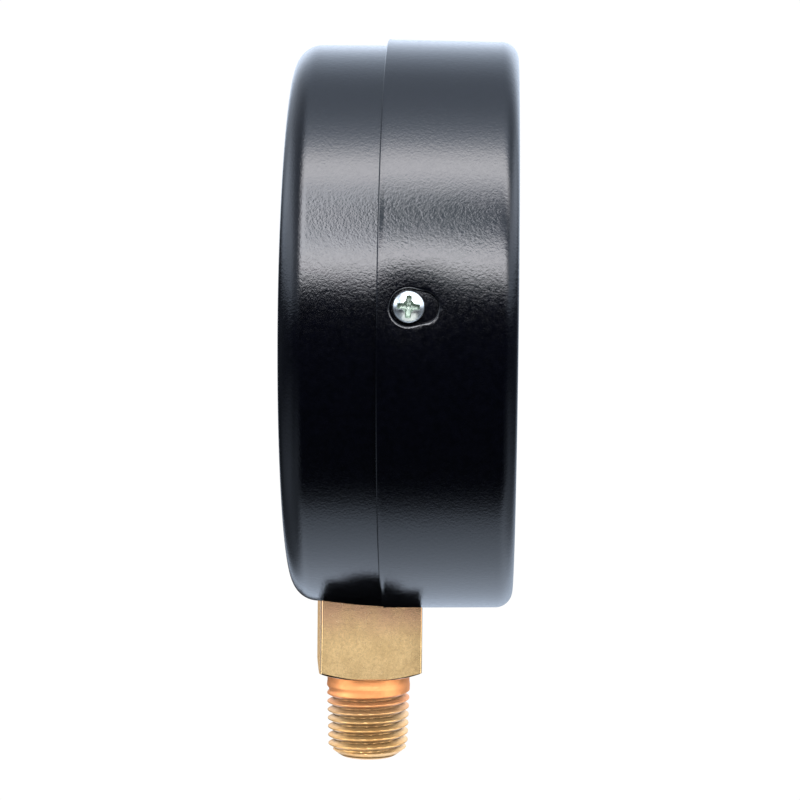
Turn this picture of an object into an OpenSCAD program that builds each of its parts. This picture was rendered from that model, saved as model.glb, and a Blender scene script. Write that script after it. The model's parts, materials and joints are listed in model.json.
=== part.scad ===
// Bourdon-tube pressure gauge with a slip ring and a bottom stem.
// The dial faces -Y, +Z is up, and the origin is the centre of the stem's threaded end.
// Movement coordinates are given as seen from the dial side: x to the right, z up, from the case axis.

/* [Case] */
// Outside diameter of the case
case_d = 91; // [89:0.5:93]
// Thickness of the case and ring sheet
sheet_t = 0.8; // [0.7:0.1:1]
// Distance from the stem axis to the outside of the case back
case_back = 12.2; // [11.8:0.1:13]
// Distance from the stem axis to the case mouth
case_front = 18.6; // [18.4:0.1:19]
// Outside radius of the corner between wall and back
back_corner_r = 4.1; // [3:0.1:5]

/* [Slip ring] */
// Outside diameter of the ring at its rear edge
ring_d = 93; // [92.8:0.1:93.4]
// How much smaller the ring's radius is at the front
ring_draft = 0.3; // [0:0.05:0.35]
// Distance from the stem axis to the ring's rear edge
ring_rear = 2.6; // [2:0.1:3]
// Distance from the stem axis to the ring's front face
ring_front = 23.6; // [23.5:0.1:24]
// Outside radius of the ring's front corner
ring_corner_r = 2.8; // [2.4:0.1:3]
// Diameter of the window in the ring's front lip
window_d = 83; // [80:0.5:83]
// Angle of the ring screw above the horizontal
ring_screw_lift = 5.3; // [0:0.1:12]

/* [Stem] */
// Height of the case axis above the end of the stem
axis_h = 71.7; // [71:0.1:74]
// Width across the flats of the wrench block
block_w = 16.5; // [16:0.1:17]
// How far the wrench block is turned about the stem, against the case
block_turn = 5.8; // [0:0.1:6.5]
// Height of the wrench block's underside above the end of the stem
block_base = 13.8; // [13.5:0.1:15]
// Threads per inch of the tapered pipe thread
threads_per_inch = 18; // [18:1:18]
// Crest radius of the thread at the end of the stem
crest_r = 6.53; // [6.4:0.01:6.6]
// Depth of the thread
thread_depth = 0.95; // [0.7:0.05:1.1]
// Diameter of the inlet bore
inlet_d = 5; // [4:0.5:6]

/* [Dial] */
// Diameter of the dial plate
dial_d = 87.6; // [84:0.2:87.6]
// Direction of the zero mark, counterclockwise from the right
zero_angle = 225; // [215:1:230]
// Reach of the pointer's tip from the case axis
pointer_reach = 34; // [28:0.5:36]

/* [Movement] */
// Gear module
gear_module = 0.3; // [0.3:0.1:0.3]
// Number of teeth on the pinion
pinion_teeth = 12; // [12:1:12]
// Number of teeth that a full wheel of the sector's size would have
sector_teeth = 120; // [120:1:120]
// Swing of the sector from zero to full scale
sector_swing = 27; // [20:1:27]
// Mean radius of the Bourdon tube
tube_r = 29; // [29:1:29]

/* [Hidden] */
$fn = 96;
eps = 0.01;

// Case and ring
case_r = case_d / 2;
ring_r = ring_d / 2;
ring_front_r = ring_r - ring_draft;
window_r = window_d / 2;
screw_y = -7.4;
screw_angles = [180 - ring_screw_lift, -ring_screw_lift];
opening_r = 2.7;
opening_small_r = 2.3;
opening_step = 2.05;
seat_rise = 0.85;
seat_angle = 26;
block_gap = 0.15;
ring_gap = 0.12;

// Lens and gasket
lens_t = 2;
lens_r = 44.4;
gasket_front_t = 1.2;
gasket_rear_t = 1;
gasket_r = 45.35;
gasket_inner_r = 42;
lens_front_y = -ring_front + sheet_t + gasket_front_t;
lens_rear_y = lens_front_y + lens_t;

// Stem and thread
pitch = 25.4 / threads_per_inch;
taper = 1 / 32;
neck_r = 6.82;
thread_low = 0.8;
thread_high = 12.3;
thread_fade = 1.3;
lead_r = 5.5;
end_r = 4.4;
crest_ref_z = 10.43;
columns = 48;
inlet_r = inlet_d / 2;
inlet_l = 11;
restrictor_r = 2;
restrictor_l = 5;
passage_r = 1.5;
body_half = 7;
body_front = -2.5;
body_top = axis_h - 22;
block_top = axis_h - 39.5;

// Bourdon tube
tube_w = 10;
tube_t = 3.2;
tube_wall = 0.4;
tube_y = 4;
tube_tip_angle = -20;
tube_root_angle = 262;
tip_angle = -25;

// Movement levels along Y, rear face first
back_plate = [-2.5, -3.7];
link_level = [-4.35, -5.25];
sector_level = [-5.4, -7];
pinion_level = [-4.6, -8.2];
spring_level = [-8.9, -9.6];
front_plate = [-10.4, -11.6];
dial_level = [-13, -13.8];
pointer_level = [-16, -16.5];

// Pivots, from the case axis
gear_distance = gear_module * (pinion_teeth + sector_teeth) / 2;
sector_direction = -80;
sector_pivot = polar(gear_distance, sector_direction);
tail_l = 7.5;
tail_angle = -60;
tail_pin = sector_pivot + polar(tail_l, tail_angle);
tube_tip = polar(tube_r, tip_angle);
arbor_r = 0.8;
running_gap = 0.03;
pin_r = 0.6;
link_slack = 0.17;
pillar_points = [[-9.5, 6.5], [10.5, 4.5], [-6.5, -27]];
pillar_r = 1.9;
plate_screw_r = 0.9;
dial_screw_points = [[-13, -3], [12.5, -10]];
movement_screw_points = [[-4, -34], [4, -34]];
socket_screw_points = [[-4.5, -37.5], [4.5, -37.5]];

function polar(r, a) = [r * cos(a), r * sin(a)];
function involute(a) = tan(a) * 180 / PI - a;
function turn(p, a) = [p[0] * cos(a) - p[1] * sin(a), p[0] * sin(a) + p[1] * cos(a)];

// ---- Shared shapes ----

// A plate drawn as seen from the dial side, with its rear face at y_rear
module plate(y_rear, y_front)
    translate([0, y_rear, axis_h]) rotate([90, 0, 0]) linear_extrude(y_rear - y_front) children();

// A body turned about the case axis; its half outline is drawn in radius and Y
module turned()
    translate([0, 0, axis_h]) rotate([-90, 0, 0]) rotate_extrude() children();

// A rod along Y at point p, from y_rear forward to y_front
module rod(p, y_rear, y_front, r)
    translate([p[0], y_rear, axis_h + p[1]]) rotate([90, 0, 0]) cylinder(h = y_rear - y_front, r = r);

// Stands children on the wall at angle a, with local +Z pointing outwards and local +Y to the rear
module on_wall(a, y, r)
    translate([0, y, axis_h]) rotate([0, 90 - a, 0]) translate([0, 0, r]) children();

// A cross recess cut from the top of a screw head at z = 0
module cross_recess(reach, w, depth)
    for (a = [0, 90])
        rotate([0, 0, a]) translate([-reach, -w / 2, -depth]) cube([2 * reach, w, depth + 1]);

// A pan-head screw pointing down, with the underside of its head at z = 0
module pan_screw(head_r, head_h, shank_r, shank_l, recess = true)
    difference() {
        union() {
            rotate_extrude() {
                square([head_r, head_h * 0.45]);
                intersection() {
                    translate([0, head_h - head_r * 1.6]) circle(r = head_r * 1.6);
                    square([head_r, head_h]);
                }
            }
            translate([0, 0, -shank_l]) cylinder(h = shank_l + eps, r = shank_r);
        }
        if (recess)
            translate([0, 0, head_h]) cross_recess(head_r * 0.6, head_r * 0.26, head_h * 0.55);
    }

// A pan screw along Y with its head towards the dial
module front_screw(p, y, head_r, head_h, shank_r, shank_l)
    translate([p[0], y, axis_h + p[1]]) rotate([90, 0, 0]) pan_screw(head_r, head_h, shank_r, shank_l);

// ---- Case, ring and window ----

// Filled half outline of a round cup with its mouth at y_mouth
module cup_outline(r, y_mouth, y_back, corner) {
    translate([0, y_mouth]) square([r, y_back - corner - y_mouth]);
    translate([0, y_back - corner - eps]) square([r - corner, corner + eps]);
    translate([r - corner, y_back - corner]) circle(r = corner);
}

// Pressed-out seat that the stem block passes through
module stem_seat()
    translate([0, 0, axis_h]) rotate([-90, 0, 0]) rotate([0, 0, 90 - seat_angle / 2])
        rotate_extrude(angle = seat_angle)
            polygon([[case_r - 0.4, -ring_rear + 0.15], [case_r + seat_rise, -ring_rear + 0.15],
                     [case_r + 0.75 * seat_rise, 1.5], [case_r + 0.4 * seat_rise, 5],
                     [case_r, 8], [case_r - 0.4, 8]]);

// Square way for the stem block, from z upwards
module block_cut(z)
    rotate([0, 0, block_turn]) translate([-block_w / 2 - block_gap, -block_w / 2 - block_gap, z])
        cube([block_w + 2 * block_gap, block_w + 2 * block_gap, 8]);

module case() color("#17181b") difference() {
    union() {
        turned() difference() {
            cup_outline(case_r, -case_front, case_back, back_corner_r);
            cup_outline(case_r - sheet_t, -case_front - 1, case_back - sheet_t, back_corner_r - sheet_t);
        }
        stem_seat();
    }
    block_cut(axis_h - case_r - 2);
    for (a = screw_angles)
        on_wall(a, screw_y, case_r - 2) cylinder(h = 3, r = 1.25);
    for (p = socket_screw_points)
        rod(p, case_back + 1, case_back - 2, 1.6);
}

// Filled half outline of the ring with wall radius r at its rear edge, y_rear, and back to y_wall
module ring_outline(inset, r, y_rear, y_wall) {
    corner = ring_corner_r - inset;
    y_front = -ring_front + inset;
    polygon([[0, y_front + corner], [ring_front_r - inset, y_front + corner], [r, y_wall], [r, y_rear],
             [0, y_rear]]);
    translate([0, y_front]) square([ring_front_r - inset - corner, corner + eps]);
    translate([ring_front_r - inset - corner, y_front + corner]) circle(r = corner);
}

// Pear-shaped outline, wide end at the origin and narrow end towards -Y
module pear_outline(r1, r2, step) {
    lean = asin((r1 - r2) / step);
    circle(r = r1);
    translate([0, -step]) circle(r = r2);
    polygon([[r1 * cos(lean), -r1 * sin(lean)], [-r1 * cos(lean), -r1 * sin(lean)],
             [-r2 * cos(lean), -step - r2 * sin(lean)], [r2 * cos(lean), -step - r2 * sin(lean)]]);
}

module slip_ring() color("#17181b") difference() {
    turned() difference() {
        ring_outline(0, ring_r, -ring_rear, -ring_rear - eps);
        ring_outline(sheet_t, case_r + ring_gap, -ring_rear + 1, -case_front - 0.1);
        translate([0, -ring_front - 1]) square([window_r, sheet_t + 2]);
    }
    for (a = screw_angles)
        on_wall(a, screw_y, case_r - 2) linear_extrude(4)
            pear_outline(opening_r, opening_small_r, opening_step);
    block_cut(axis_h - ring_r - 1);
}

module ring_screws() color("#c9ccd0")
    for (a = screw_angles)
        on_wall(a, screw_y, case_r + 0.02) pan_screw(2.35, 1.75, 1.22, 5);

module lens() color("#cfe3e8", 0.35)
    turned() translate([0, lens_front_y]) square([lens_r, lens_t]);

// Channel of soft rubber around the rim of the lens
module lens_gasket() color("#202020") turned() difference() {
    intersection() {
        translate([gasket_inner_r, -ring_front + sheet_t])
            square([gasket_r - gasket_inner_r, sheet_t + gasket_front_t + lens_t + gasket_rear_t]);
        union() {
            translate([0, -ring_front]) square([ring_front_r - ring_corner_r, 10]);
            translate([0, -ring_front + ring_corner_r]) square([gasket_r, 10]);
            translate([ring_front_r - ring_corner_r, -ring_front + ring_corner_r])
                circle(r = ring_corner_r - sheet_t - 0.05);
        }
        translate([0, -ring_front]) square([gasket_r + 1, ring_front - case_front]);
    }
    translate([0, lens_front_y - eps / 2]) square([lens_r + eps, lens_t + eps]);
}

// ---- Dial and pointer ----

module dial() color("#f4f3ee") plate(dial_level[0], dial_level[1]) difference() {
    circle(d = dial_d);
    circle(r = 2.2);
    for (p = dial_screw_points) translate(p) circle(r = 1.1);
}

module dial_screws() color("#c9ccd0")
    for (p = dial_screw_points)
        front_screw(p, dial_level[1], 1.9, 1.1, plate_screw_r, 3.4);

module dial_spacers() color("#c8a04a")
    for (p = dial_screw_points)
        plate(front_plate[1], dial_level[0]) translate(p) difference() {
            circle(r = 2);
            circle(r = 1);
        }

stop_angle = zero_angle + 3.1;
stop_reach = 24;
stop_r = 0.5;

module stop_pin() color("#c9ccd0")
    rod(polar(stop_reach, stop_angle), dial_level[1], pointer_level[1] - 0.6, stop_r);

// Blade outline pointing right, with a broad tail to balance it
module pointer_outline() difference() {
    union() {
        polygon([[0, -1.35], [pointer_reach * 0.62, -0.95], [pointer_reach, -0.12], [pointer_reach, 0.12],
                 [pointer_reach * 0.62, 0.95], [0, 1.35]]);
        polygon([[0, -1.35], [0, 1.35], [-13, 2.4], [-14.5, 2.2], [-14.5, -2.2], [-13, -2.4]]);
        circle(r = 3.6);
    }
    circle(r = 1.6);
}

module pointer() color("#111111")
    plate(pointer_level[0], pointer_level[1]) rotate(zero_angle) pointer_outline();

module pointer_hub() color("#c8a04a") difference() {
    turned() {
        translate([0, pointer_level[1] - 1.1]) square([2.6, 1.1]);
        translate([0, pointer_level[1] - eps]) square([1.58, 2]);
    }
    rod([0, 0], pointer_level[0] + 2, pointer_level[1] - 0.4, arbor_r * 0.8 + 0.01);
    translate([-3, pointer_level[1] - 1.8, axis_h - 0.3]) cube([6, 1, 0.6]);
}

// ---- Stem, socket and thread ----

function fade(z) = z < thread_high - thread_fade ? 1 : max(0, (thread_high - z) / thread_fade);
function lead(z) = lead_r + (z - thread_low) * 1.3;
// Height of vertex j on column i; four vertices make one turn: crest, crest, root, root
function raw_z(i, j) = crest_ref_z + pitch * (i / columns - 0.25 + floor(j / 4) - 9)
    + pitch * [-1 / 16, 1 / 16, 7 / 16, 9 / 16][j % 4];
function vertex_z(i, j) = min(thread_high, max(thread_low, raw_z(i, j)));
function vertex_r(z, j) = min(lead(z), crest_r + z * taper - (j % 4 > 1 ? thread_depth * fade(z) : 0));
levels = 48;
function thread_point(i, j) = let (z = vertex_z(i, j), r = vertex_r(z, j), a = 360 * i / columns)
    [r * cos(a), r * sin(a), z];
// One index stands for all the vertices that meet an end of the thread
function vertex(i, j) = let (over = i == columns, c = over ? 0 : i, k = over ? j + 4 : j, z = raw_z(c, k))
    c * levels + (z <= thread_low ? 0 : (z >= thread_high || k > levels - 1) ? levels - 1 : k);
function whole(f) = f[0] != f[1] && f[1] != f[2] && f[2] != f[0];

// Right-hand tapered pipe thread as one closed solid
module thread() {
    points = [for (i = [0:columns - 1], j = [0:levels - 1]) thread_point(i, j)];
    flanks = [for (i = [0:columns - 1], j = [0:levels - 2])
        for (f = [[vertex(i, j), vertex(i, j + 1), vertex(i + 1, j + 1)],
                  [vertex(i, j), vertex(i + 1, j + 1), vertex(i + 1, j)]])
            if (whole(f)) f];
    ends = [[for (i = [0:columns - 1]) i * levels],
            [for (i = [columns - 1:-1:0]) i * levels + levels - 1]];
    polyhedron(points, concat(flanks, ends), convexity = 10);
}

module block_outline(half, edge)
    polygon([for (a = [0:90:270]) each [turn([half, -half + edge], a), turn([half, half - edge], a)]]);

// Square wrench block with bevelled edges, a turned underside and a small shoulder where it enters the case
module wrench_block() rotate([0, 0, block_turn]) {
    half = block_w / 2;
    edge = 0.35;
    cone_h = 3;
    slope = 0.37;
    flats_top = axis_h - ring_r + 0.5;
    intersection() {
        union() {
            translate([0, 0, block_base]) linear_extrude(flats_top - block_base) block_outline(half, edge);
            translate([0, 0, flats_top - eps]) linear_extrude(block_top - flats_top) block_outline(half - 0.03, edge);
        }
        union() {
            translate([0, 0, block_base]) cylinder(h = cone_h, r1 = half - 0.1, r2 = half - 0.1 + cone_h / slope);
            translate([0, 0, block_base + cone_h]) cylinder(h = 20, r = half - 0.1 + cone_h / slope);
        }
    }
}

module bourdon_arc(from, to)
    translate([0, 0, axis_h]) rotate([90, 0, 0]) rotate([0, 0, from]) rotate_extrude(angle = to - from)
        translate([tube_r, -tube_y]) children();

module flat_oval(w, t) {
    square([t, w - t], center = true);
    for (s = [-1, 1]) translate([0, s * (w - t) / 2]) circle(r = t / 2);
}

module socket() color("#c9a052") difference() {
    union() {
        thread();
        cylinder(h = thread_low + eps, r1 = end_r, r2 = lead_r);
        translate([0, 0, thread_high - 0.2]) cylinder(h = block_base - thread_high + 0.7, r = neck_r);
        wrench_block();
        translate([-body_half, body_front, block_top - 0.5])
            cube([2 * body_half, case_back - sheet_t - body_front, body_top - block_top + 0.5]);
    }
    translate([0, 0, -1]) cylinder(h = inlet_l + 1, r = inlet_r);
    translate([0, 0, inlet_l - eps]) cylinder(h = restrictor_l, r = restrictor_r);
    translate([0, 0, inlet_l]) cylinder(h = axis_h - 27 - inlet_l, r = passage_r);
    translate([-5, 1.2, axis_h - 28.6]) rotate([0, 90, 0]) cylinder(h = 5, r = 0.9);
    bourdon_arc(254, tube_root_angle + 0.1) flat_oval(tube_w + 0.1, tube_t + 0.1);
    for (p = movement_screw_points) rod(p, 3.5, body_front - 1, 1.22);
    rod(pillar_points[2], body_front + 1.3, body_front - 1, 2.2);
    for (p = socket_screw_points) rod(p, case_back, 3.8, 1.52);
}

module socket_screws() color("#c9ccd0")
    for (p = socket_screw_points)
        translate([p[0], case_back, axis_h + p[1]]) rotate([-90, 0, 0]) pan_screw(2.9, 1.1, 1.5, 8);

module restrictor() color("#b9bcc0") translate([0, 0, inlet_l + 0.2]) difference() {
    cylinder(h = 4, r = restrictor_r - 0.03);
    translate([0, 0, -1]) cylinder(h = 6, r = 0.3);
    translate([-3, -0.25, -1]) cube([6, 0.5, 1.8]);
}

// ---- Bourdon tube and linkage ----

module bourdon_tube() color("#b98b4c")
    bourdon_arc(tube_tip_angle, tube_root_angle) difference() {
        flat_oval(tube_w, tube_t);
        flat_oval(tube_w - 2 * tube_wall, tube_t - 2 * tube_wall);
    }

module tube_end_piece() color("#c9a052") difference() {
    union() {
        bourdon_arc(tip_angle - 4, tube_tip_angle - 0.02) square([tube_t + 1, tube_w + 0.8], center = true);
        rod(tube_tip, 0, link_level[0] + 0.05, 1.8);
    }
    rod(tube_tip, -1.8, link_level[1] - 1, pin_r + 0.01);
}

module link_screw() color("#c9ccd0") {
    rod(tube_tip, -1.9, link_level[1] - 0.1, pin_r);
    rod(tube_tip, link_level[1] - 0.05, link_level[1] - 0.75, 1.2);
}

module link() color("#c8a04a") {
    run = tube_tip - tail_pin;
    length = norm(run);
    heading = atan2(run[1], run[0]);
    plate(link_level[0], link_level[1]) translate(tail_pin) rotate(heading) difference() {
        union() {
            circle(r = 1.7);
            translate([length, 0]) circle(r = 1.6);
            translate([0, -0.9]) square([length, 1.8]);
        }
        circle(r = pin_r + link_slack);
        translate([length, 0]) circle(r = pin_r + running_gap);
    }
}

module sector_tail_pin() color("#c9ccd0") {
    rod(tail_pin, link_level[0] + 0.35, sector_level[0] - 1.4, pin_r);
    rod(tail_pin, link_level[0] + 0.5, link_level[0] + 0.1, 1.1);
}

// ---- Gears ----

// One tooth along +X of a gear with n teeth; play is how much is taken off each flank
module tooth(n, tip, root, play) {
    r = gear_module * n / 2;
    base = r * cos(20);
    half = 90 / n + involute(20);
    steps = 6;
    low = max(base, r - root);
    flank = [for (k = [0:steps])
        let (q = low + (r + tip - low) * k / steps, a = half - involute(acos(min(1, base / q))) - play / r * 180 / PI)
            [q, a]];
    polygon(concat([polar(r - root - 0.15, -flank[0][1] - 0.5)], [for (f = flank) polar(f[0], -f[1])],
                   [for (k = [steps:-1:0]) polar(flank[k][0], flank[k][1])],
                   [polar(r - root - 0.15, flank[0][1] + 0.5)]));
}

gear_play = 0.018;
sector_first = -12;
sector_last = 3;

module sector_gear() color("#c8a04a") {
    root_r = gear_module * sector_teeth / 2 - 1.25 * gear_module;
    step = 360 / sector_teeth;
    facing = sector_direction + 180;
    low = facing + (sector_first - 0.5) * step;
    high = facing + (sector_last + 0.5) * step;
    plate(sector_level[0], sector_level[1]) translate(sector_pivot) difference() {
        union() {
            for (k = [sector_first:sector_last])
                rotate(facing + (k + 0.5) * step)
                    tooth(sector_teeth, 0.65 * gear_module, 1.25 * gear_module, gear_play);
            intersection() {
                difference() {
                    circle(r = root_r);
                    circle(r = root_r - 2.2);
                }
                polygon([[0, 0], polar(30, low + step), polar(30, (low + high) / 2 + step / 2), polar(30, high)]);
            }
            for (a = [low + 1.6 * step, high - 1.2 * step])
                rotate(a) translate([0, -1]) square([root_r - 1, 2]);
            circle(r = 3.4);
            rotate(tail_angle) translate([0, -1.5]) square([tail_l, 3]);
            translate(polar(tail_l, tail_angle)) circle(r = 1.7);
        }
        circle(r = 1.3);
        translate(polar(tail_l, tail_angle)) circle(r = pin_r);
    }
}

// Arbor that carries the sector and turns in both plates
module sector_arbor() color("#b9bcc0") {
    rod(sector_pivot, back_plate[0] - 0.05, front_plate[1] + 0.05, arbor_r);
    rod(sector_pivot, back_plate[1] - 0.1, front_plate[0] + 0.1, 1.29);
}

module pinion() color("#b9bcc0") {
    plate(pinion_level[0], pinion_level[1])
        for (k = [0:pinion_teeth - 1])
            rotate(sector_direction + k * 360 / pinion_teeth)
                tooth(pinion_teeth, gear_module, 1.25 * gear_module, gear_play);
    rod([0, 0], back_plate[1] - 0.1, front_plate[0] + 0.1, 1.35);
    rod([0, 0], back_plate[0] - 0.05, dial_level[1] - 0.3, arbor_r);
    rod([0, 0], dial_level[1] - 0.2, pointer_level[1] - 0.35, arbor_r * 0.8);
}

// ---- Hairspring ----

collet_r = 1.9;
spring_out = 6.6;
spring_turns = 5;
stud_angle = 30;

module hairspring_collet() color("#c8a04a")
    plate(spring_level[0] + 0.3, spring_level[1] - 0.2) difference() {
        circle(r = collet_r);
        circle(r = 1.36);
    }

// Flat spiral strip from the collet to the stud
module hairspring() color("#9aa0a8") {
    n = 150;
    w = 0.12;
    start = collet_r + w / 2 + 0.01;
    spiral = [for (k = [0:n]) let (a = stud_angle + 360 * spring_turns * (k / n - 1))
        [start + (spring_out - start) * k / n, a]];
    plate(spring_level[0], spring_level[1])
        polygon(concat([for (s = spiral) polar(s[0] + w / 2, s[1])],
                       [for (k = [n:-1:0]) polar(spiral[k][0] - w / 2, spiral[k][1])]));
}

module hairspring_stud() color("#c8a04a")
    rod(polar(spring_out + 0.9, stud_angle), spring_level[0] + 0.2, front_plate[0] - 0.6, 0.8);

// ---- Movement frame ----

module movement_outline(low) {
    hull() {
        for (p = [pillar_points[0], pillar_points[1]]) translate(p) circle(r = 3.4);
        translate([-6.5, low]) circle(r = 3);
        translate([7.5, low]) circle(r = 3);
        translate(sector_pivot + [4, 0]) circle(r = 3.4);
    }
}

module pivot_holes() {
    circle(r = arbor_r + running_gap);
    translate(sector_pivot) circle(r = arbor_r + running_gap);
    for (p = pillar_points) translate(p) circle(r = plate_screw_r + 0.05);
}

module movement_back_plate() color("#c8a04a")
    plate(back_plate[0], back_plate[1]) difference() {
        movement_outline(-36);
        pivot_holes();
        for (p = movement_screw_points) translate(p) circle(r = 1.3);
    }

module movement_front_plate() color("#c8a04a")
    plate(front_plate[0], front_plate[1]) difference() {
        union() {
            movement_outline(-27);
            translate(dial_screw_points[0]) circle(r = 3);
            translate(dial_screw_points[1]) circle(r = 3);
        }
        pivot_holes();
        for (p = dial_screw_points) translate(p) circle(r = plate_screw_r + 0.01);
        translate(polar(spring_out + 0.9, stud_angle)) circle(r = 0.82);
    }

module movement_pillars() color("#c8a04a")
    for (p = pillar_points)
        plate(back_plate[1], front_plate[0]) translate(p) difference() {
            circle(r = pillar_r);
            circle(r = plate_screw_r + 0.02);
        }

module pillar_screws() color("#c9ccd0")
    for (p = pillar_points)
        front_screw(p, front_plate[1], 1.7, 0.9, plate_screw_r, 9);

module pillar_nuts() color("#c9ccd0")
    for (p = pillar_points)
        plate(back_plate[0] + 1.1, back_plate[0]) translate(p) difference() {
            circle(r = 1.9, $fn = 6);
            circle(r = plate_screw_r + 0.01);
        }

module movement_screws() color("#c9ccd0")
    for (p = movement_screw_points)
        front_screw(p, back_plate[1], 2.2, 1.5, 1.2, 6);

case();
slip_ring();
ring_screws();
lens();
lens_gasket();
dial();
dial_screws();
dial_spacers();
stop_pin();
pointer();
pointer_hub();
socket();
socket_screws();
restrictor();
bourdon_tube();
tube_end_piece();
link_screw();
link();
sector_tail_pin();
sector_gear();
sector_arbor();
pinion();
hairspring();
hairspring_collet();
hairspring_stud();
movement_back_plate();
movement_front_plate();
movement_pillars();
pillar_screws();
pillar_nuts();
movement_screws();
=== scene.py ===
import json
import math

import bmesh
import bpy
from mathutils import Matrix, Vector


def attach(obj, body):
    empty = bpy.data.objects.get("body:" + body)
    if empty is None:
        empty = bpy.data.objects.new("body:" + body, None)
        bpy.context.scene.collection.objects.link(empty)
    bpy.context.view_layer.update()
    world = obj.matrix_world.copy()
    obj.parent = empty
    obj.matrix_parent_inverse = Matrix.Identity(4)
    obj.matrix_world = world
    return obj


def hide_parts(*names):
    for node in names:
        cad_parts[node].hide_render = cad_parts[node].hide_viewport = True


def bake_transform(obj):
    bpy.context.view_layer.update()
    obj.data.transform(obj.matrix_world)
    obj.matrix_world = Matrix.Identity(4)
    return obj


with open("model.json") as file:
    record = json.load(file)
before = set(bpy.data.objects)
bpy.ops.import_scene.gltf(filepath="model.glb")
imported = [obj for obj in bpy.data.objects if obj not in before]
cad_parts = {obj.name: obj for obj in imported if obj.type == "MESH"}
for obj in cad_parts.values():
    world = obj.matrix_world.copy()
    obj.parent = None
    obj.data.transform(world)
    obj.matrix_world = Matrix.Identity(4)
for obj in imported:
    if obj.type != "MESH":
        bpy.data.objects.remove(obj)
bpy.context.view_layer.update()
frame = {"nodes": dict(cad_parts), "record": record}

MM = 0.001
AXIS_H = 71.7

# Case and ring, in mm; radii from the case axis, Y as in the frame
CASE_R = 45.5
CASE_FRONT, CASE_BACK = -18.6, 12.2
SHEET = 0.8
BACK_CORNER = 4.1
RING_R, RING_FRONT_R = 46.5, 46.2
RING_REAR, RING_FRONT = -2.6, -23.6
RING_CORNER = 2.8
RING_INNER_R = 45.62
WINDOW_R = 41.5
BLOCK_W = 16.5
BLOCK_TURN = 5.8
BLOCK_GAP = 0.15
SCREW_Y = -7.4
SCREW_ANGLES = (174.7, -5.3)
SOCKET_SCREWS = ((-4.5, -37.5), (4.5, -37.5))
DIAL_SCREWS = ((-13.0, -3.0), (12.5, -10.0))
PILLARS = ((-9.5, 6.5), (10.5, 4.5), (-6.5, -27.0))
# Dial: the front of its plate, the zero mark's direction, the sweep and the highest number
DIAL_Y = -13.8
ZERO_ANGLE, SWEEP = 225.0, 270.0
SCALE_MAX = 100


# ---- Meshes ----

def about_case(r, a, t):
    return Vector((r * math.cos(a), t, AXIS_H + r * math.sin(a)))


def about_stem(r, a, t):
    return Vector((r * math.cos(a), r * math.sin(a), t))


def shade(mesh, degrees=32.0):
    """Smooth shading, broken along edges sharper than the given angle."""
    bm = bmesh.new()
    bm.from_mesh(mesh)
    limit = math.radians(degrees)
    for f in bm.faces:
        f.smooth = True
    for e in bm.edges:
        e.smooth = len(e.link_faces) == 2 and e.calc_face_angle(0.0) < limit
    bm.to_mesh(mesh)
    bm.free()


def as_object(name, bm, material=None, body=None, slot=None):
    bmesh.ops.recalc_face_normals(bm, faces=bm.faces[:])
    mesh = bpy.data.meshes.new(name)
    bm.to_mesh(mesh)
    bm.free()
    shade(mesh)
    obj = bpy.data.objects.new(name, mesh)
    bpy.context.scene.collection.objects.link(obj)
    settle(obj, material, body)
    return obj


def settle(obj, material, body):
    if material:
        obj.data.materials.clear()
        obj.data.materials.append(material)
    if body:
        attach(obj, body)


def lathe(name, outline, place=about_case, steps=288, shut=True, radius=None, **kw):
    """Turns an outline of (radius, along) points in mm about an axis."""
    bm = bmesh.new()
    rows = []
    for r, t in outline:
        if r < 1e-6:
            rows.append([bm.verts.new(place(0, 0, t) * MM)])
            continue
        row = []
        for k in range(steps):
            a = 2 * math.pi * k / steps
            q = radius(r, a, t) if radius else r
            row.append(bm.verts.new(place(q, a, t) * MM))
        rows.append(row)
    pairs = list(zip(rows, rows[1:])) + ([(rows[-1], rows[0])] if shut else [])
    for lower, upper in pairs:
        if len(lower) == 1 and len(upper) == 1:
            continue
        for k in range(steps):
            n = (k + 1) % steps
            ring = [lower[k % len(lower)], lower[n % len(lower)],
                    upper[n % len(upper)], upper[k % len(upper)]]
            face = []
            for v in ring:
                if v not in face:
                    face.append(v)
            bm.faces.new(face)
    return as_object(name, bm, **kw)


def arc(cr, ct, r, start, stop, n=12):
    """Points of a circular arc in an outline, angles in degrees from the +radius direction."""
    return [(cr + r * math.cos(math.radians(start + (stop - start) * k / n)),
             ct + r * math.sin(math.radians(start + (stop - start) * k / n))) for k in range(n + 1)]


def solid_box(low, high, turn=0.0):
    bm = bmesh.new()
    bmesh.ops.create_cube(bm, size=1.0)
    low, high = Vector(low), Vector(high)
    for v in bm.verts:
        v.co = Vector([(low[i] + high[i]) / 2 + v.co[i] * (high[i] - low[i]) for i in range(3)]) * MM
    bmesh.ops.rotate(bm, verts=bm.verts[:], matrix=Matrix.Rotation(math.radians(turn), 3, "Z"))
    return as_object("cutter", bm)


def rod_y(x, z, y0, y1, r, steps=48):
    """A cutter along Y at x, z from the case axis."""
    def place(q, a, t):
        return Vector((x + q * math.cos(a), t, AXIS_H + z + q * math.sin(a)))
    return lathe("cutter", [(0, y0), (r, y0), (r, y1), (0, y1)], place, steps, shut=False)


def boolean(obj, others, how="DIFFERENCE"):
    """Cuts, joins or intersects with the other objects, which are removed."""
    for other in others:
        m = obj.modifiers.new("b", "BOOLEAN")
        m.operation, m.solver, m.object = how, "EXACT", other
    apply(obj)
    for other in others:
        bpy.data.objects.remove(other, do_unlink=True)
    shade(obj.data)


def apply(obj):
    bpy.context.view_layer.update()
    graph = bpy.context.evaluated_depsgraph_get()
    mesh = bpy.data.meshes.new_from_object(obj.evaluated_get(graph))
    obj.modifiers.clear()
    obj.data = mesh


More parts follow.
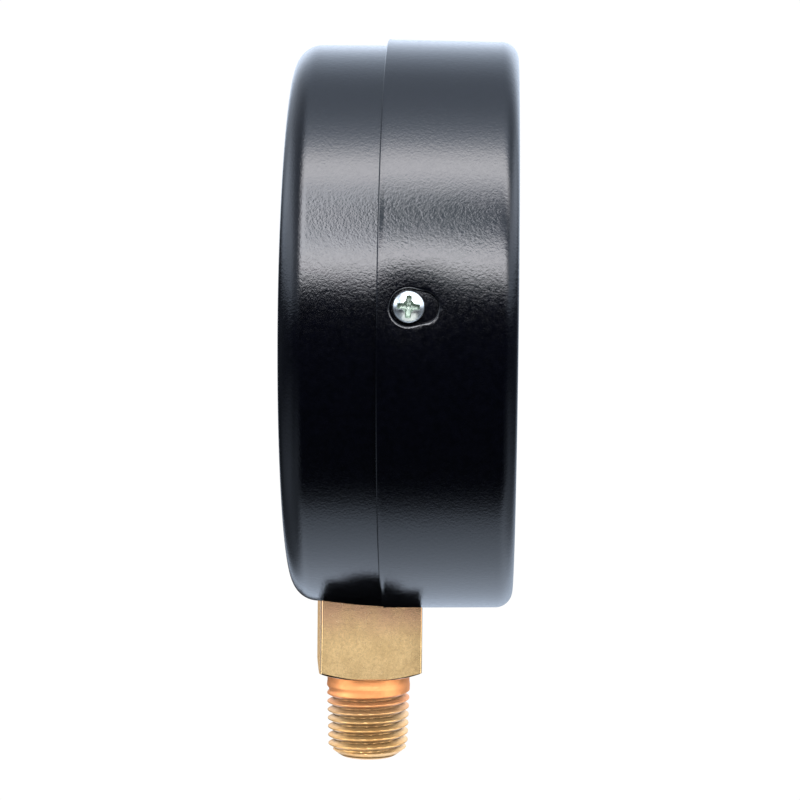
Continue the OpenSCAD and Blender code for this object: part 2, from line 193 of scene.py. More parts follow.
def bevel(obj, width, segments=3, angle=40.0):
    m = obj.modifiers.new("bevel", "BEVEL")
    m.width, m.segments, m.limit_method = width * MM, segments, "ANGLE"
    m.angle_limit = math.radians(angle)
    m.use_clamp_overlap = True
    apply(obj)
    shade(obj.data, 28)


def plate(name, loops, y_rear, y_front, edge, **kw):
    """A flat plate facing the dial side, from closed loops of (x, z) points from the case axis."""
    curve = bpy.data.curves.new(name, "CURVE")
    curve.dimensions, curve.fill_mode = "2D", "BOTH"
    for loop in loops:
        s = curve.splines.new("POLY")
        s.points.add(len(loop) - 1)
        s.use_cyclic_u = True
        for p, (x, z) in zip(s.points, loop):
            p.co = (x, z, 0, 1)
    curve.extrude = (y_rear - y_front) / 2 - edge
    curve.bevel_depth, curve.bevel_resolution, curve.offset = edge, 2, -edge
    return from_curve(name, curve, (y_rear + y_front) / 2, **kw)


def from_curve(name, curve, y, x=0.0, z=0.0, **kw):
    """Stands a flat curve or text up so that it faces the dial side."""
    temp = bpy.data.objects.new(name + "_curve", curve)
    bpy.context.scene.collection.objects.link(temp)
    bpy.context.view_layer.update()
    mesh = bpy.data.meshes.new_from_object(temp.evaluated_get(bpy.context.evaluated_depsgraph_get()))
    bpy.data.objects.remove(temp, do_unlink=True)
    bpy.data.curves.remove(curve)
    stand = Matrix(((1, 0, 0, x), (0, 0, -1, y), (0, 1, 0, AXIS_H + z), (0, 0, 0, 1)))
    mesh.transform(Matrix.Scale(MM, 4) @ stand)
    bm = bmesh.new()
    bm.from_mesh(mesh)
    bmesh.ops.remove_doubles(bm, verts=bm.verts[:], dist=1e-7)
    bpy.data.meshes.remove(mesh)
    return as_object(name, bm, **kw)


def circle(x, z, r, n=64):
    return [(x + r * math.cos(2 * math.pi * k / n), z + r * math.sin(2 * math.pi * k / n))
            for k in range(n)]


def join(name, objects, **kw):
    """One object from several; the sources are removed."""
    bm = bmesh.new()
    for o in objects:
        bm.from_mesh(o.data)
        bpy.data.objects.remove(o, do_unlink=True)
    return as_object(name, bm, **kw)


# ---- Materials ----

class Paint:
    """A Principled material with helpers for its node tree."""

    def __init__(self, name, **plain):
        self.mat = bpy.data.materials.new(name)
        self.mat.use_nodes = True
        self.tree = self.mat.node_tree
        self.tree.nodes.clear()
        self.out = self.node("ShaderNodeOutputMaterial")
        self.bsdf = self.node("ShaderNodeBsdfPrincipled")
        self.tree.links.new(self.bsdf.outputs[0], self.out.inputs[0])
        for key, value in plain.items():
            self.bsdf.inputs[key.replace("_", " ")].default_value = value
        self.coord = self.node("ShaderNodeTexCoord").outputs["Object"]
        self.height = None

    def node(self, kind, **values):
        n = self.tree.nodes.new(kind)
        for key, value in values.items():
            if key in n.inputs:
                n.inputs[key].default_value = value
            else:
                setattr(n, key, value)
        return n

    def link(self, a, b):
        self.tree.links.new(a, b)

    def stretched(self, scale):
        m = self.node("ShaderNodeMapping")
        m.inputs["Scale"].default_value = scale
        self.link(self.coord, m.inputs["Vector"])
        return m.outputs[0]

    def noise(self, scale, detail=3.0, rough=0.5, stretch=None):
        n = self.node("ShaderNodeTexNoise", Scale=scale, Detail=detail, Roughness=rough)
        self.link(self.stretched(stretch) if stretch else self.coord, n.inputs["Vector"])
        return n.outputs["Fac"]

    def map(self, value, a, b, c, d, smooth=False):
        m = self.node("ShaderNodeMapRange")
        if smooth:
            m.interpolation_type = "SMOOTHSTEP"
        for key, v in zip(("From Min", "From Max", "To Min", "To Max"), (a, b, c, d)):
            m.inputs[key].default_value = v
        self.link(value, m.inputs["Value"])
        return m.outputs["Result"]

    def mix(self, fac, a, b):
        m = self.node("ShaderNodeMix", data_type="RGBA")
        for socket, value in ((m.inputs[0], fac), (m.inputs[6], a), (m.inputs[7], b)):
            if isinstance(value, bpy.types.NodeSocket):
                self.link(value, socket)
            elif isinstance(value, (int, float)):
                socket.default_value = value
            else:
                socket.default_value = (*value, 1.0)
        return m.outputs[2]

    def axis(self, i):
        s = self.node("ShaderNodeSeparateXYZ")
        self.link(self.coord, s.inputs[0])
        return s.outputs[i]

    def math(self, how, a, b=0.0):
        m = self.node("ShaderNodeMath", operation=how)
        for socket, value in ((m.inputs[0], a), (m.inputs[1], b)):
            if isinstance(value, bpy.types.NodeSocket):
                self.link(value, socket)
            else:
                socket.default_value = value
        return m.outputs[0]

    def bump(self, height, strength, distance):
        b = self.node("ShaderNodeBump", Strength=strength, Distance=distance)
        self.link(height, b.inputs["Height"])
        if self.height is not None:
            self.link(self.height, b.inputs["Normal"])
        self.height = b.outputs[0]
        self.link(self.height, self.bsdf.inputs["Normal"])

    def color(self, socket):
        self.link(socket, self.bsdf.inputs["Base Color"])

    def roughness(self, socket):
        self.link(socket, self.bsdf.inputs["Roughness"])


def enamel():
    """Glossy black paint with a fine orange peel."""
    p = Paint("black_enamel", IOR=1.5)
    fine = p.noise(3000, 2.0, 0.6)
    broad = p.noise(160, 3.0)
    p.color(p.mix(p.map(p.noise(900, 4.0), 0.35, 0.7, 0, 1),
                  (0.0003, 0.0004, 0.0012), (0.0009, 0.0010, 0.0024)))
    p.roughness(p.map(p.noise(1500, 3.0), 0.3, 0.7, 0.11, 0.19))
    p.bump(fine, 0.8, 0.000022)
    p.bump(p.noise(1900, 2.0, 0.7), 0.8, 0.000026)
    p.bump(broad, 0.2, 0.00006)
    return p.mat


def brass(name, light, dark, rough=(0.26, 0.44)):
    p = Paint(name, Metallic=1.0)
    p.color(p.mix(p.map(p.noise(420, 5.0, 0.6), 0.3, 0.72, 0, 1), light, dark))
    p.roughness(p.map(p.noise(1600, 4.0), 0.3, 0.7, *rough))
    p.bump(p.noise(900, 3.0, 0.6, (1, 1, 9)), 0.25, 0.00002)
    p.bump(p.noise(3500, 2.0), 0.3, 0.00001)
    return p.mat


def stem_brass(name, rough, grain, metallic=1.0):
    """Brass of the stem, coloured by height; the groove attribute darkens the thread's roots as painted
    shade.
    """
    p = Paint(name, Metallic=metallic)
    z = p.axis(2)
    spots = p.map(p.noise(330, 5.0, 0.65), 0.36, 0.68, 0, 1, True)
    base = p.mix(spots, (0.83, 0.60, 0.31), (0.70, 0.50, 0.25))
    fine = p.map(p.noise(2400, 2.0, 0.7), 0.42, 0.62, 0, 1, True)
    base = p.mix(p.math("MULTIPLY", fine, 0.35), base, (0.55, 0.37, 0.18))
    # Darker pinkish brown near the case, painted shade under the case with a pink tint; copper orange on
    # the neck, reddish gold on the lower turns
    case_shade = p.math("MULTIPLY", p.map(z, 0.0195, 0.0262, 0, 1, True),
                   p.map(p.noise(240, 4.0), 0.3, 0.6, 0.35, 1))
    base = p.mix(case_shade, base, (0.68, 0.42, 0.26))
    neck = p.math("MULTIPLY", p.map(z, 0.0060, 0.0106, 0, 1, True), p.map(z, 0.0139, 0.0142, 1, 0))
    base = p.mix(neck, base, (0.95, 0.40, 0.15))
    turns = p.map(z, 0.0050, 0.0100, 1, 0, True)
    gold = p.math("MULTIPLY", turns, p.map(p.noise(260, 3.0), 0.3, 0.65, 0.5, 1))
    base = p.mix(gold, base, (0.92, 0.50, 0.17))
    groove = p.node("ShaderNodeAttribute", attribute_name="groove").outputs["Fac"]
    # Painted shade: the groove depth mask darkens the thread's roots towards dark brown
    root_shade = p.math("MULTIPLY", groove, p.map(p.noise(700, 4.0), 0.25, 0.6, 0.45, 0.9))
    base = p.mix(root_shade, base, (0.24, 0.13, 0.05))
    p.color(base)
    rough_now = p.map(p.noise(1400, 4.0), 0.3, 0.7, *rough)
    p.roughness(p.math("ADD", rough_now, p.math("MULTIPLY", neck, 0.1)))
    # Machining lines both ways, then a fine grain
    p.bump(p.noise(1000, 3.0, 0.6, (1, 0.12, 3)), 0.3 * grain, 0.00002)
    p.bump(p.noise(1000, 3.0, 0.6, (1, 3, 0.12)), 0.2 * grain, 0.00002)
    p.bump(p.noise(2600, 3.0, 0.65), 0.6 * grain, 0.000022)
    return p.mat


def metal(name, light, dark, rough=(0.2, 0.34), bumps=0.3):
    p = Paint(name, Metallic=1.0)
    p.color(p.mix(p.map(p.noise(600, 5.0), 0.3, 0.7, 0, 1), light, dark))
    p.roughness(p.map(p.noise(1800, 4.0), 0.3, 0.7, *rough))
    p.bump(p.noise(2600, 3.0), bumps, 0.00001)
    return p.mat


def glass():
    """Clear glass that lets light through to the dial without a dark shadow."""
    p = Paint("window_glass", IOR=1.48, Roughness=0.01)
    p.bsdf.inputs["Base Color"].default_value = (0.985, 0.995, 0.99, 1)
    p.bsdf.inputs["Transmission Weight"].default_value = 1.0
    p.bump(p.noise(18, 1.0), 0.02, 0.0002)
    clear = p.node("ShaderNodeBsdfTransparent")
    path = p.node("ShaderNodeLightPath")
    both = p.node("ShaderNodeMixShader")
    p.link(path.outputs["Is Shadow Ray"], both.inputs[0])
    p.link(p.bsdf.outputs[0], both.inputs[1])
    p.link(clear.outputs[0], both.inputs[2])
    p.link(both.outputs[0], p.out.inputs[0])
    return p.mat


def plain(name, light, dark, rough, bump=0.2, scale=900):
    p = Paint(name)
    p.color(p.mix(p.map(p.noise(scale, 5.0), 0.3, 0.7, 0, 1), light, dark))
    p.roughness(p.map(p.noise(scale * 2, 3.0), 0.3, 0.7, *rough))
    p.bump(p.noise(scale * 3, 3.0), bump, 0.00001)
    return p.mat


ENAMEL = enamel()
STEM = stem_brass("stem_brass", (0.18, 0.28), 1.0)
TURNED = stem_brass("stem_brass_turned", (0.34, 0.48), 0.8, 0.85)
MOVEMENT = brass("movement_brass", (0.84, 0.62, 0.30), (0.76, 0.53, 0.24))
ZINC = metal("zinc_steel", (0.86, 0.88, 0.87), (0.74, 0.77, 0.76))
# Darker grey-green zinc for the cross recess: painted shade inside the recess
RECESS_SHADE = metal("zinc_recess_shade", (0.34, 0.40, 0.34), (0.27, 0.33, 0.27), (0.45, 0.6), 0.5)
ARBOR = metal("arbor_steel", (0.72, 0.72, 0.73), (0.6, 0.6, 0.62), (0.14, 0.24))
BRONZE = brass("tube_bronze", (0.80, 0.52, 0.26), (0.68, 0.42, 0.20), (0.24, 0.4))
GLASS = glass()
RUBBER = plain("gasket_rubber", (0.03, 0.03, 0.03), (0.045, 0.044, 0.043), (0.55, 0.75), 0.4)
DIAL_WHITE = plain("dial_white", (0.86, 0.855, 0.82), (0.82, 0.815, 0.78), (0.38, 0.48), 0.1, 500)
INK = plain("dial_ink", (0.012, 0.012, 0.013), (0.02, 0.02, 0.02), (0.35, 0.5), 0.1, 1200)
POINTER = plain("pointer_black", (0.012, 0.012, 0.013), (0.018, 0.018, 0.018), (0.3, 0.42), 0.15, 1200)

SLOTS = {"black_enamel": ENAMEL, "zinc_steel": ZINC, "window_glass": GLASS, "gasket_rubber": RUBBER,
         "dial_white": DIAL_WHITE, "pointer_black": POINTER, "stem_brass": STEM,
         "movement_brass": MOVEMENT, "tube_bronze": BRONZE, "arbor_steel": ARBOR}


# ---- Case ----

def seat(r, a, t):
    """Radius of the case wall with its pressed-out seat around the stem block."""
    half_angle, blend_angle, end = 14.5, 3.5, 8
    if r < CASE_R - 1.2 or not RING_REAR - 0.1 < t < end:
        return r
    off = abs((math.degrees(a) - 270 + 180) % 360 - 180)
    side = min(1.0, max(0.0, (half_angle - off) / blend_angle))
    points = ((RING_REAR - 0.1, 0.0), (RING_REAR + 0.1, 0.85), (1.5, 0.64), (5, 0.34), (end, 0))
    rise = 0.0
    for (t0, h0), (t1, h1) in zip(points, points[1:]):
        if t0 <= t <= t1:
            rise = h0 + (h1 - h0) * (t - t0) / (t1 - t0)
    return r + rise * side * side * (3 - 2 * side)


inner = CASE_R - SHEET
wall_rows = [(CASE_R, y / 2) for y in range(-5, 17)]
case_outline = ([(0, CASE_BACK), (10, CASE_BACK), (25, CASE_BACK),
                 (CASE_R - BACK_CORNER - 0.3, CASE_BACK)]
                + arc(CASE_R - BACK_CORNER, CASE_BACK - BACK_CORNER, BACK_CORNER, 90, 0, 24)
                + list(reversed(wall_rows))
                + [(CASE_R, RING_REAR - 0.1), (CASE_R, -10), (CASE_R, -18.4), (CASE_R - 0.2, CASE_FRONT),
                   (inner + 0.2, CASE_FRONT), (inner, -18.4), (inner, 0),
                   (inner, CASE_BACK - BACK_CORNER)]
                + arc(CASE_R - BACK_CORNER, CASE_BACK - BACK_CORNER, BACK_CORNER - SHEET, 0, 90, 12)
                + [(0, CASE_BACK - SHEET)])
case = lathe("case_shell", case_outline, shut=False, steps=360, radius=seat,
             material=ENAMEL, body="root", slot="black_enamel")
half = BLOCK_W / 2 + BLOCK_GAP
cuts = [solid_box((-half, -half, AXIS_H - CASE_R - 2), (half, half, AXIS_H - CASE_R + 6),
                  BLOCK_TURN)]
cuts += [rod_y(x, z, CASE_BACK + 1, CASE_BACK - 2, 1.6) for x, z in SOCKET_SCREWS]
boolean(case, cuts)
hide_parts("case")


# ---- Slip ring ----

def pear(r1, r2, step, n=40):
    """Points round a pear-shaped outline, wide end at the origin and narrow end at v = -step."""
    lean = math.asin((r1 - r2) / step)
    points = []
    for k in range(n + 1):
        a = -lean + (math.pi + 2 * lean) * k / n
        points.append((r1 * math.cos(a), r1 * math.sin(a)))
    for k in range(n + 1):
        a = math.pi + lean + (math.pi - 2 * lean) * k / n
        points.append((r2 * math.cos(a), -step + r2 * math.sin(a)))
    return points


# Opening: wide end's radius, narrow end's radius and the step between their centres; the radius
# of the ring's wall there; and the radius of the rolled rim
OPENING = (2.7, 2.3, 2.05)
HOLE_R = 46.42
RIM = 0.5


def opening_cutter(degrees):
    """Pear-shaped opening with a rolled outer rim, wrapped on the ring's wall."""
    bm = bmesh.new()
    layers = [(-3.0, 0.0)]
    for k in range(9):
        t = math.radians(90 * k / 8)
        layers.append((-RIM + RIM * math.sin(t), RIM * (1 - math.cos(t))))
    layers.append((1.5, RIM + 0.02))
    rows = []
    for depth, spread in layers:
        row = []
        for u, v in pear(OPENING[0] + spread, OPENING[1] + spread, OPENING[2]):
            a = math.radians(degrees) + u / HOLE_R
            row.append(bm.verts.new(about_case(HOLE_R + depth, a, SCREW_Y + v) * MM))
        rows.append(row)
    for lower, upper in zip(rows, rows[1:]):
        for k in range(len(lower)):
            n = (k + 1) % len(lower)
            bm.faces.new((lower[k], lower[n], upper[n], upper[k]))
    bm.faces.new(rows[0])
    bm.faces.new(rows[-1])
    return as_object("cutter", bm)


def dimple(obj, degrees):
    """Lets the ring's wall sink a little round the opening, as where it was punched."""
    deep, wide, still_r, reach = 0.34, 3.8, 45.55, 14.142
    a0 = math.radians(degrees)
    for v in obj.data.vertices:
        x, y, z = v.co / MM
        r, a = math.hypot(x, z - AXIS_H), math.atan2(z - AXIS_H, x)
        if r < still_r or y > RING_REAR + 0.5:
            continue
        u = ((a - a0 + math.pi) % (2 * math.pi) - math.pi) * HOLE_R
        d2 = u * u + (y - SCREW_Y + 0.3) ** 2
        if d2 > reach * reach:
            continue
        fall = deep * math.exp(-d2 / (2 * wide * wide)) * min(1.0, (r - still_r) / 0.5)
        v.co.x -= fall * math.cos(a) * MM
        v.co.z -= fall * math.sin(a) * MM


# The wall narrows towards the front; a small bead runs along its rear edge
corner_y = RING_FRONT + RING_CORNER
wall_start, wall_steps = RING_REAR - 0.3, 26
wall = [(RING_R - 0.3 * (RING_REAR - y) / (RING_REAR - corner_y), y)
        for y in [wall_start - k * (wall_start - corner_y) / wall_steps
                  for k in range(wall_steps + 1)]]
ring_outline = (arc(RING_R - 0.19, RING_REAR - 0.25, 0.25, 90, 0, 6)
                + [(RING_R + 0.05, RING_REAR - 0.33), (RING_R - 0.01, RING_REAR - 0.52)]
                + wall[1:-1]
                + arc(RING_FRONT_R - RING_CORNER, corner_y, RING_CORNER, 0, -90, 24)
                + [(43.2, RING_FRONT)]
                + arc(WINDOW_R + 0.3, RING_FRONT + 0.3, 0.3, -90, -180, 6)
                + arc(WINDOW_R + 0.3, RING_FRONT + SHEET - 0.3, 0.3, 180, 90, 6)
                + [(43.2, RING_FRONT + SHEET)]
                + arc(RING_FRONT_R - RING_CORNER, corner_y, RING_CORNER - SHEET, -90, 0, 10)
                + [(RING_INNER_R, CASE_FRONT - 0.1)]
                + [(RING_INNER_R, y) for y in (-16, -14, -12, -10, -8, -6, -4)]
                + [(RING_INNER_R, RING_REAR)])
ring = lathe("ring_shell", ring_outline, steps=360, material=ENAMEL, body="root",
             slot="black_enamel")
boolean(ring, [solid_box((-half, -half, AXIS_H - RING_R - 1), (half, half, AXIS_H - RING_R + 7),
                         BLOCK_TURN)]
        + [opening_cutter(a) for a in SCREW_ANGLES])
for a in SCREW_ANGLES:
    dimple(ring, a)
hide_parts("slip_ring")


# ---- Screws ----

def cross_cutter(reach, width, depth):
    """Tapered cross with a pointed centre, as a driver leaves it."""
    parts = []
    for turned in (0, 90):
        bm = bmesh.new()
        corners = []
        for z, l, w in ((0.3, reach * 1.1, width * 1.12), (-depth, reach * 0.7, width * 0.62)):
            corners.append([bm.verts.new(Vector(p) * MM) for p in
                            ((-l, -w / 2, z), (l, -w / 2, z), (l, w / 2, z), (-l, w / 2, z))])
        low, high = corners
        bm.faces.new(low)
        bm.faces.new(high)
        for k in range(4):
            n = (k + 1) % 4
            bm.faces.new((low[k], low[n], high[n], high[k]))
        bmesh.ops.transform(bm, matrix=Matrix.Rotation(math.radians(turned), 4, "Z"),
                            verts=bm.verts[:])
        parts.append(as_object("cutter", bm))
    parts.append(lathe("cutter", [(0, -depth * 1.25), (width * 0.4, -depth), (width * 1.12, 0.0),
                                  (width * 1.25, 0.3), (0, 0.3)], about_stem, 24, shut=False))
    return parts


def pan_screw(name, place, head_r, head_h, shank_r, shank_l, twist):
    """Pan-head screw with a cross recess; place carries the head's underside centre to the frame."""
    dome_r = head_r * 1.6
    side = head_h * 0.42
    outline = [(0, head_h)]
    top = math.acos(min(1, (side + 0.25 - head_h + dome_r) / dome_r))
    dome_steps = 14
    for k in range(1, dome_steps + 1):
        a = top * k / dome_steps
        outline.append((dome_r * math.sin(a), head_h - dome_r * (1 - math.cos(a))))
    scale = (head_r - 0.1) / outline[-1][0]
    outline = [(r * min(1.0, scale), t) for r, t in outline]
    outline += arc(head_r - 0.3, side, 0.3, 50, 0, 6)
    outline += [(head_r, 0.18), (head_r - 0.12, 0.0), (shank_r + 0.05, 0.0), (shank_r, -0.1),
                (shank_r, -shank_l + 0.3), (shank_r - 0.3, -shank_l), (0, -shank_l)]
    screw = lathe(name, outline, about_stem, 96, shut=False)
    cutters = cross_cutter(head_r * 0.8, head_r * 0.40, head_h * 0.62)
    for c in cutters:
        c.data.transform(Matrix.Rotation(math.radians(twist), 4, "Z")
                         @ Matrix.Translation((0, 0, head_h * MM)))
    boolean(screw, cutters)
    bevel(screw, 0.035, 2)
    # Faces clearly below the dome, near the middle, are the recess; they get the darker grey-green zinc,
    # painted shade inside the cross
    screw.data.materials.append(ZINC)
    screw.data.materials.append(RECESS_SHADE)
    for f in screw.data.polygons:
        x, y, z = f.center / MM
        r = math.hypot(x, y)
        dome = head_h - dome_r + math.sqrt(dome_r * dome_r - min(r, dome_r) ** 2)
        f.material_index = 1 if r < head_r * 0.8 and 0.15 < z < dome - 0.06 else 0
    screw.data.transform(Matrix.Translation(place.translation * MM) @ place.to_3x3().to_4x4())
    settle(screw, None, "root")
    return screw


def frame_from(origin, out, up):
    """Placement with local +Z along out and local +Y near up."""
    z = Vector(out).normalized()
    x = Vector(up).cross(z).normalized()
    y = z.cross(x)
    m = Matrix((x, y, z)).transposed().to_4x4()
    m.translation = Vector(origin)
    return m


UP = (0, 0, 1)
for n, degrees in enumerate(SCREW_ANGLES):
    a = math.radians(degrees)
    out = Vector((math.cos(a), 0, math.sin(a)))
    at = about_case(CASE_R + 0.02, a, SCREW_Y)
    screw = pan_screw(f"ring_screw_{n + 1}", frame_from(at, out, UP), 2.35, 1.75, 1.22, 5, -3.0)
    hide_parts("ring_screws")
for n, (x, z) in enumerate(SOCKET_SCREWS):
    at = (x, CASE_BACK, AXIS_H + z)
    screw = pan_screw(f"socket_screw_{n + 1}", frame_from(at, (0, 1, 0), UP),
                      2.9, 1.1, 1.5, 8, 17.0 + 31 * n)
    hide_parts("socket_screws")
for n, (x, z) in enumerate(DIAL_SCREWS):
    at = (x, DIAL_Y, AXIS_H + z)
    screw = pan_screw(f"dial_screw_{n + 1}", frame_from(at, (0, -1, 0), UP),
                      1.9, 1.1, 0.9, 3.4, 24.0 - 40 * n)
    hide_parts("dial_screws")


# ---- Window ----

LENS_R, LENS_FRONT, LENS_REAR, LENS_EDGE = 44.4, -21.6, -19.6, 0.2
lens_outline = [(0, LENS_FRONT), (20, LENS_FRONT), (LENS_R - LENS_EDGE, LENS_FRONT),
                (LENS_R, LENS_FRONT + LENS_EDGE), (LENS_R, LENS_REAR - LENS_EDGE),
                (LENS_R - LENS_EDGE, LENS_REAR), (20, LENS_REAR), (0, LENS_REAR)]
lens = lathe("window_lens", lens_outline, shut=False, steps=240,
             material=GLASS, body="root", slot="window_glass")
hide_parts("lens")
gasket_outline = ([(42.15, -22.8)] + [(43.2, -22.8)] + arc(43.4, -20.8, 1.95, -88, -2, 8)
                  + [(45.35, -18.75), (45.2, -18.6), (42.2, -18.6), (42, -18.8), (42, -19.45),
                     (42.15, -19.595), (44.4, -19.595), (44.405, -21.605), (42.15, -21.605),
                     (42, -21.75), (42, -22.65)])
gasket = lathe("lens_seal", gasket_outline, steps=240, material=RUBBER, body="root",
               slot="gasket_rubber")
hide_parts("lens_gasket")


# ---- Dial ----

dial = plate("dial_plate", [circle(0, 0, 43.8, 240), circle(0, 0, 2.2)]
             + [circle(x, z, 1.1, 32) for x, z in DIAL_SCREWS],
             -13.0, DIAL_Y, 0.06, material=DIAL_WHITE, body="root", slot="dial_white")
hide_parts("dial")

def scale_angle(value):
    return math.radians(ZERO_ANGLE - SWEEP * value / SCALE_MAX)


def mark(a, r0, r1, w):
    """One printed line of the scale, across w and from radius r0 to r1."""
    c, s = math.cos(a), math.sin(a)
    corners = ((r0, -w / 2), (r1, -w / 2), (r1, w / 2), (r0, w / 2))
    return [(r * c - k * s, r * s + k * c) for r, k in corners]


def printed(name, loops, thick=0.03):
    """Thin ink from closed loops of (x, z) points from the case axis."""
    bm = bmesh.new()
    for loop in loops:
        front = [bm.verts.new(Vector((x, DIAL_Y - thick, AXIS_H + z)) * MM) for x, z in loop]
        rear = [bm.verts.new(Vector((x, DIAL_Y + 0.002, AXIS_H + z)) * MM) for x, z in loop]
        bm.faces.new(front)
        bm.faces.new(rear)
        for k in range(len(loop)):
            n = (k + 1) % len(loop)
            bm.faces.new((front[k], front[n], rear[n], rear[k]))
    return as_object(name, bm, material=INK, body="root", slot="pointer_black")


# Radii of the marks' outer end, the arc's outer edge and the numerals, then inner end and width
# of the marks at every ten, at every five and between
MARK_R, ARC_R, NUMERAL_R = 39.2, 39.6, 27.6
TENS, FIVES, ONES = (33.2, 0.75), (35.4, 0.42), (36.9, 0.22)
lines = []
for value in range(SCALE_MAX + 1):
    start, width = TENS if value % 10 == 0 else FIVES if value % 5 == 0 else ONES
    lines.append(mark(scale_angle(value), start, MARK_R, width))
printed("scale_marks", lines)
sweep = [scale_angle(SCALE_MAX * k / 180) for k in range(181)]
band = [(ARC_R * math.cos(a), ARC_R * math.sin(a)) for a in sweep]
band += [(MARK_R * math.cos(a), MARK_R * math.sin(a)) for a in reversed(sweep)]
printed("scale_arc", [band])


def letters(name, text, size, x, z):
    """Raised print, centred at x, z from the case axis."""
    curve = bpy.data.curves.new(name, "FONT")
    curve.body, curve.size = text, size
    curve.align_x, curve.align_y = "CENTER", "CENTER"
    curve.extrude, curve.offset, curve.resolution_u = 0.015, 0.05, 6
    return from_curve(name, curve, DIAL_Y - 0.014, x, z)


numerals = [letters("numeral", str(v), 5.4, NUMERAL_R * math.cos(scale_angle(v)),
                    NUMERAL_R * math.sin(scale_angle(v)) + 0.1)
            for v in range(0, SCALE_MAX + 1, 10)]
numerals.append(letters("numeral", "psi", 5.0, 0, -20.5))
join("scale_numerals", numerals, material=INK, body="root", slot="pointer_black")


# ---- Pointer ----

def turned_outline(points, degrees):
    c, s = math.cos(math.radians(degrees)), math.sin(math.radians(degrees))
    return [(x * c - z * s, x * s + z * c) for x, z in points]


reach, disc_r = 34.0, 3.6
disc = [(disc_r * math.cos(math.radians(a)), disc_r * math.sin(math.radians(a)))
        for a in range(24, 157, 4)]
blade = ([(reach, -0.12), (reach, 0.12), (reach * 0.62, 0.95)] + disc
         + [(-13, 2.4), (-14.5, 2.2), (-14.5, -2.2), (-13, -2.4)]
         + [(x, -z) for x, z in reversed(disc)] + [(reach * 0.62, -0.95)])
pointer = plate("pointer_blade", [turned_outline(blade, ZERO_ANGLE), circle(0, 0, 1.6, 48)],
                -16.0, -16.5, 0.06, material=POINTER, body="pointer_arbor", slot="pointer_black")
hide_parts("pointer")
hub = lathe("pointer_boss", [(0.7, -14.52), (1.5, -14.52), (1.58, -14.6), (1.58, -16.5), (2.45, -16.5),
                             (2.6, -16.65)]
            + arc(2.35, -17.35, 0.25, 0, -90, 5) + [(1.0, -17.6), (0.66, -17.5), (0.66, -14.6)],
            steps=72, material=MOVEMENT, body="pointer_arbor", slot="movement_brass")
slot_cut = solid_box((-3, -18.3, AXIS_H - 0.3), (3, -17.3, AXIS_H + 0.3))
boolean(hub, [slot_cut])
bevel(hub, 0.04, 2)
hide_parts("pointer_hub")


# ---- Stem ----

# Tapered pipe thread: crest radius at the end, depth, threaded stretch, and its run-out
PITCH = 25.4 / 18
TAPER = 1 / 32
CREST_R, DEPTH = 6.53, 0.95
LOW, HIGH = 0.8, 12.6
CREST_AT = 10.43 - 0.25 * PITCH
LAST_TURN, FADE_TURNS = 1.05, 0.7
NECK_R = 6.82


def groove_of(a, z):
    """Depth, from 0 to 1, of the thread groove at angle a and height z."""
    turns = (z - CREST_AT) / PITCH - a / (2 * math.pi)
    phase = turns - math.floor(turns)
    wave = min(phase, 1 - phase) * 2
    cut = min(1.0, max(0.0, (wave - 0.10) / 0.78))
    cut = cut * cut * (3 - 2 * cut) * 0.35 + cut * 0.65
    along = math.floor(turns) + 0.5 + a / (2 * math.pi)
    fade = min(1.0, max(0.0, (LAST_TURN - along) / FADE_TURNS))
    return cut * fade * fade * (3 - 2 * fade)


def stem_radius(r, a, t):
    """Radius of the thread and neck where the outline has its threaded rows."""
    if r < 4 or not LOW <= t <= HIGH:
        return r
    crest = CREST_R + t * TAPER
    thread = crest - DEPTH * groove_of(a % (2 * math.pi), t)
    top = max(0.0, (t - 11.9) / (HIGH - 11.9))
    full = thread + (NECK_R - crest) * top
    return min(5.5 + (t - LOW) * 1.3, full)


rows = int((HIGH - LOW) / 0.06)
stem_outline = ([(0, 15.5), (2.0, 15.5), (2.0, 11.0), (2.5, 11.0), (2.5, 5), (2.5, 0.25), (2.7, 0.0),
                 (4.2, 0.0), (4.4, 0.06), (4.95, 0.4)]
                + [(6.0, LOW + (HIGH - LOW) * k / rows) for k in range(rows + 1)]
                + [(NECK_R, 12.9), (NECK_R, 13.4), (NECK_R, 14.6), (NECK_R - 0.1, 15.5)])
stem = lathe("stem_thread", stem_outline, about_stem, 144, radius=stem_radius)
# The groove attribute is the mask for the painted shade in the thread's roots
marks = stem.data.attributes.new("groove", "FLOAT", "POINT")
for v, m in zip(stem.data.vertices, marks.data):
    x, y, z = v.co / MM
    r = math.hypot(x, y)
    inside = LOW < z < HIGH and r > 4
    depth = (CREST_R + z * TAPER - r) / DEPTH if inside else 0.0
    m.value = min(1.0, max(0.0, (depth - 0.5) / 0.5)) * (1.0 if z > 1.6 else 0.0)

BLOCK_BASE, BLOCK_TOP = 13.8, AXIS_H - 39.5


def chamfered_block():
    """Square block with its underside's corners turned to a cone."""
    half, cone, slope = BLOCK_W / 2, 3.0, 0.37
    block = solid_box((-half, -half, BLOCK_BASE - 0.5), (half, half, AXIS_H - CASE_R + 2.2))
    block.data.transform(Matrix.Rotation(math.radians(BLOCK_TURN), 4, "Z"))
    m = block.modifiers.new("edges", "BEVEL")
    m.width, m.segments, m.limit_method = 0.35 * MM, 4, "ANGLE"
    apply(block)
    low = half - 0.1
    turned = lathe("cutter", [(0, BLOCK_BASE), (low - 0.15, BLOCK_BASE), (low, BLOCK_BASE + 0.05),
                              (low + cone / slope, BLOCK_BASE + cone), (low + cone / slope, 60), (0, 60)],
                   about_stem, 288, shut=False)
    boolean(block, [turned], "INTERSECT")
    return block


